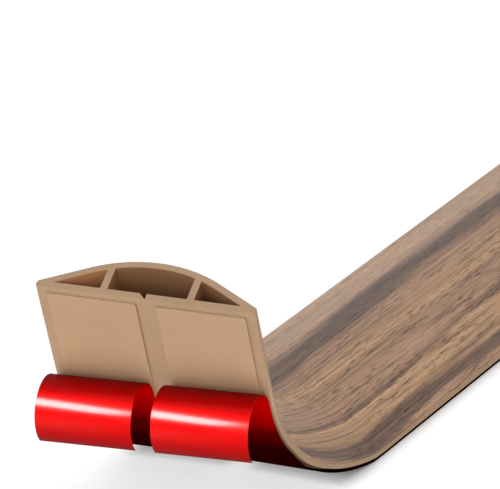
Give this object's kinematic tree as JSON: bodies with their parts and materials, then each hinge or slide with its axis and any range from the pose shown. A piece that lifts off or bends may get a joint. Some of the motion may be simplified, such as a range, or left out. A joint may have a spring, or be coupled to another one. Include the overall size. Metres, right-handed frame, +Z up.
{
  "type": "floor cord cover",
  "caption": "Flexible D-shaped floor cord cover with lengthwise channels, slit base and wood-grain top, its front end curled up and its tape liners peeled back.",
  "frame": {"origin": "middle of the base of the overall box, on the floor it lies on", "axes": "+Y along the flat run of the strip, away from its curled front end, +Z up, +X to the strip's right side seen from the front"},
  "size_m": [0.0786, 0.9662, 0.0986],
  "materials": {
    "soft_vinyl": "matt flexible vinyl, tan",
    "wood_grain_film": "satin printed wood grain running along the strip",
    "adhesive_tape": "matt double-sided tape, beige",
    "release_liner": "glossy red film"
  },
  "bodies": {
    "root": {"cover_extrusion": "soft_vinyl", "wood_grain_film": "wood_grain_film", "adhesive_tape_left": "adhesive_tape", "adhesive_tape_right": "adhesive_tape", "release_liner_left": "release_liner", "release_liner_right": "release_liner"}
  },
  "joints": []
}
